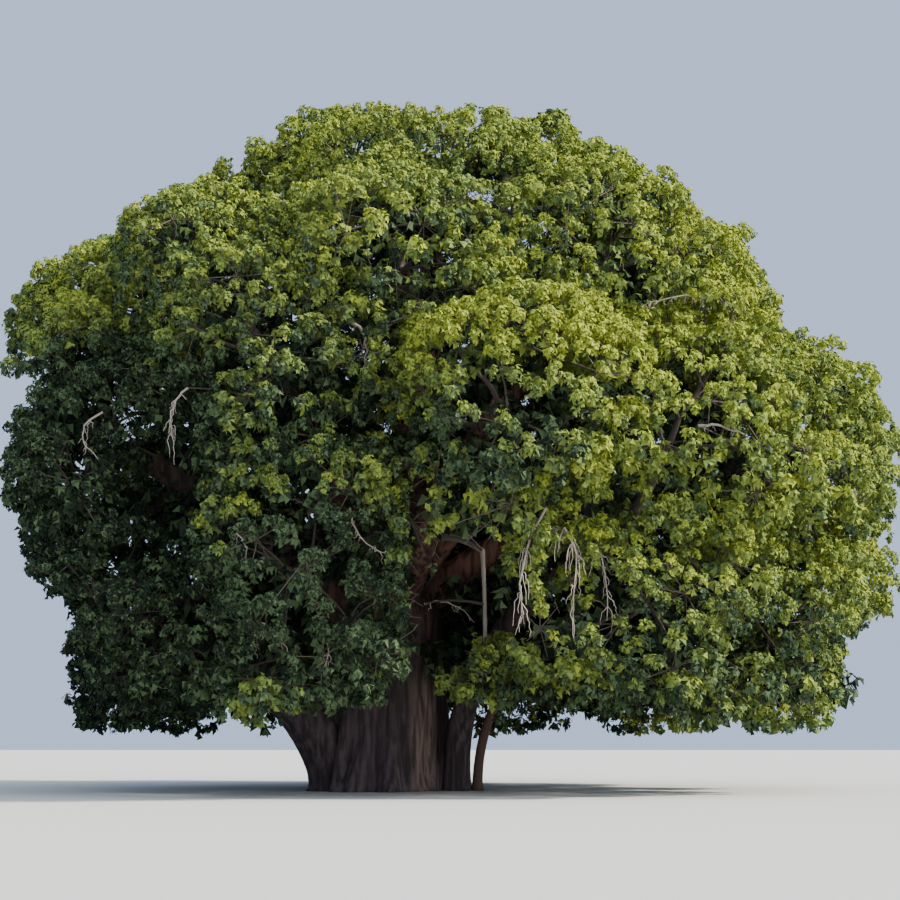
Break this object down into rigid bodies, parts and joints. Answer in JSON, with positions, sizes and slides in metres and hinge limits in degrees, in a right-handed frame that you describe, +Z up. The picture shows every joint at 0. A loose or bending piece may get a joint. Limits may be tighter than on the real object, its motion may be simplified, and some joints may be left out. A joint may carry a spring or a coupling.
{
  "type": "baobab tree",
  "caption": "Broad domed tree in full leaf: a thick furrowed trunk of fused stems, boughs that spread from its fork, and heavy foliage that hangs nearly to the ground.",
  "frame": {"origin": "on the flat cut under the trunk, at ground level, at the middle of the stems' whole foot", "axes": "+Z straight up; -Y towards the side that the picture shows; +X to the right as seen from there, along the crown's widest spread"},
  "size_m": [29.576, 26.8051, 22.2907],
  "materials": {
    "bark": "rough furrowed grey-brown bark, warmer where the sun reaches it",
    "bark_pale": "smooth pale grey bark of thin limbs",
    "leaves_sunny": "soft matt yellow-green leaves in sun",
    "leaves_green": "soft matt mid-green leaves",
    "leaves_shaded": "soft matt dark-green leaves in shade"
  },
  "bodies": {
    "root": {"bough_back": "bark", "bough_back_left": "bark", "bough_back_right": "bark", "bough_front": "bark", "bough_front_left": "bark", "bough_left": "bark", "bough_left_front": "bark", "bough_right": "bark", "bough_right_back": "bark", "bough_right_front": "bark", "bough_upper_back": "bark", "bough_upper_front": "bark", "bough_upper_left": "bark", "bough_upper_right": "bark", "foliage_hanging": "leaves_green", "foliage_middle_back": "leaves_shaded", "foliage_middle_back_left": "leaves_shaded", "foliage_middle_back_right": "leaves_green", "foliage_middle_front": "leaves_sunny", "foliage_middle_front_left": "leaves_green", "foliage_middle_front_right": "leaves_sunny", "foliage_middle_left": "leaves_shaded", "foliage_middle_left_front": "leaves_shaded", "foliage_middle_right": "leaves_sunny", "foliage_middle_right_back": "leaves_green", "foliage_middle_right_front": "leaves_sunny", "foliage_skirt_back": "leaves_shaded", "foliage_skirt_back_left": "leaves_shaded", "foliage_skirt_back_right": "leaves_shaded", "foliage_skirt_front_left": "leaves_green", "foliage_skirt_front_right": "leaves_sunny", "foliage_skirt_left": "leaves_shaded", "foliage_skirt_left_front": "leaves_shaded", "foliage_skirt_right": "leaves_sunny", "foliage_skirt_right_back": "leaves_green", "foliage_skirt_right_front": "leaves_sunny", "foliage_top_back": "leaves_green", "foliage_top_front": "leaves_sunny", "foliage_top_left": "leaves_green", "foliage_top_right": "leaves_sunny", "foliage_upper_back": "leaves_green", "foliage_upper_back_left": "leaves_shaded", "foliage_upper_back_right": "leaves_green", "foliage_upper_front": "leaves_sunny", "foliage_upper_front_left": "leaves_green", "foliage_upper_front_right": "leaves_sunny", "foliage_upper_left": "leaves_green", "foliage_upper_right": "leaves_sunny", "limb_hanging_lower": "bark_pale", "limb_hanging_upper": "bark_pale", "stem_leader": "bark", "stem_left": "bark", "stem_right": "bark", "stem_right_slim": "bark_pale", "trunk": "bark"}
  },
  "joints": []
}
